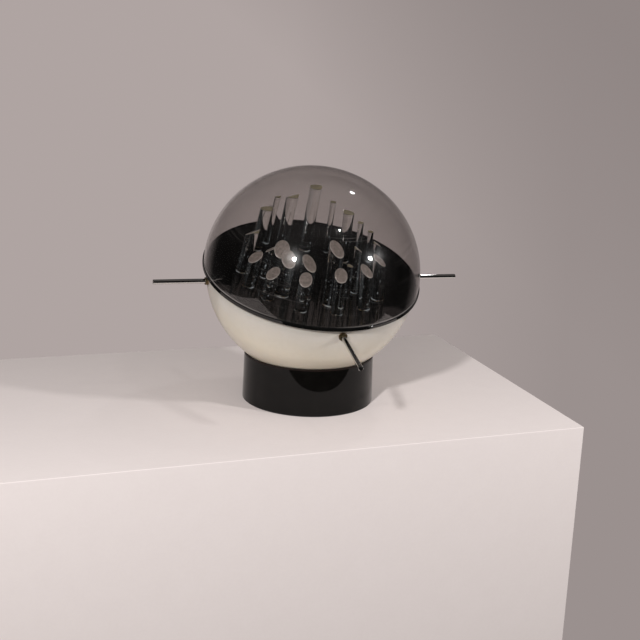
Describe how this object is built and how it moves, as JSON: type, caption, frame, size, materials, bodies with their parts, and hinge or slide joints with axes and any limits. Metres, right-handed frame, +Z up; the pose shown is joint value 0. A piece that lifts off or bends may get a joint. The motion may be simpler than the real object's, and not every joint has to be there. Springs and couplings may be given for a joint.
{
  "type": "table lamp",
  "caption": "Space-age ball lamp: a tilted globe with a smoked dome, an opal bowl and a black deck of clear rods, resting in a short black ring and turned by thin chrome handles.",
  "frame": {"origin": "centre of the base's underside, on the table", "axes": "+Z up; the globe leans towards -Y and a little to +X, where the viewer stands; the notch for the flex is at +Y"},
  "size_m": [0.4145, 0.3969, 0.323],
  "materials": {
    "base_gloss_black": "gloss",
    "foot_rubber": "matt",
    "seat_brown": "satin",
    "seat_felt_strip": "matt",
    "bowl_opal": "gloss, opal",
    "deck_gloss_black": "polished",
    "dome_smoked": "clear, smoked",
    "rod_clear": "clear, polished sides and frosted end",
    "handle_chrome": "polished",
    "small_brass": "plain",
    "washer_amber": "satin",
    "lug_black": "gloss",
    "spacer_aluminium": "plain",
    "gland_black": "satin",
    "nipple_steel": "zinc plated",
    "bracket_plated": "zinc plated",
    "holder_black": "satin",
    "contact_brass": "plain",
    "bulb_pearl": "pearl",
    "cap_metal": "plain",
    "block_white": "satin",
    "lead_brown": "satin",
    "lead_blue": "satin"
  },
  "bodies": {
    "base": {"base_ring": "base_gloss_black", "foot_ring": "foot_rubber"},
    "seat": {"seat_ring": "seat_brown"},
    "lift": {"seat_felt": "seat_felt_strip"},
    "tilt": {"cord_gland": "gland_black", "nipple": "nipple_steel"},
    "globe": {"lower_bowl": "bowl_opal", "deck_plate": "deck_gloss_black", "light_rod_01": "rod_clear", "light_rod_02": "rod_clear", "light_rod_03": "rod_clear", "light_rod_04": "rod_clear", "light_rod_05": "rod_clear", "light_rod_06": "rod_clear", "light_rod_07": "rod_clear", "light_rod_08": "rod_clear", "light_rod_09": "rod_clear", "light_rod_10": "rod_clear", "light_rod_11": "rod_clear", "light_rod_12": "rod_clear", "light_rod_13": "rod_clear", "light_rod_14": "rod_clear", "light_rod_15": "rod_clear", "light_rod_16": "rod_clear", "light_rod_17": "rod_clear", "light_rod_18": "rod_clear", "light_rod_19": "rod_clear", "light_rod_20": "rod_clear", "light_rod_21": "rod_clear", "light_rod_22": "rod_clear", "light_rod_23": "rod_clear", "handle_rod_1": "handle_chrome", "handle_rod_2": "handle_chrome", "handle_rod_3": "handle_chrome", "handle_rod_4": "handle_chrome", "handle_nuts": "small_brass", "handle_washers": "washer_amber", "deck_lugs": "lug_black", "lug_inserts": "small_brass", "handle_spacers": "spacer_aluminium", "nipple_washer": "nipple_steel", "nipple_nuts": "nipple_steel", "lamp_bracket": "bracket_plated", "lampholder_1": "holder_black", "lampholder_2": "holder_black", "lampholder_3": "holder_black", "holder_contacts": "contact_brass", "holder_nuts": "nipple_steel", "bulb_glass_1": "bulb_pearl", "bulb_glass_2": "bulb_pearl", "bulb_glass_3": "bulb_pearl", "bulb_caps": "cap_metal", "terminal_block": "block_white", "live_leads": "lead_brown", "neutral_leads": "lead_blue"},
    "dome": {"dome": "dome_smoked"}
  },
  "joints": [
    {"name": "globe_swivel", "type": "hinge", "parent": "base", "child": "seat", "pos_m": [0, 0, 0.18132], "axis": [0, 0, 1], "continuous": true},
    {"name": "globe_lift", "type": "slide", "parent": "seat", "child": "lift", "axis": [0, 0, 1], "range_m": [0, 0.1]},
    {"name": "globe_tilt", "type": "hinge", "parent": "lift", "child": "tilt", "pos_m": [0, 0, 0.18132], "axis": [0.9219, 0.3875, 0], "range_deg": [-47.4, 12.5]},
    {"name": "globe_turn", "type": "hinge", "parent": "tilt", "child": "globe", "pos_m": [0, 0, 0.18132], "axis": [0.1162, -0.2764, 0.954], "continuous": true},
    {"name": "dome_lift", "type": "slide", "parent": "globe", "child": "dome", "axis": [0.1162, -0.2764, 0.954], "range_m": [0, 0.16]}
  ]
}
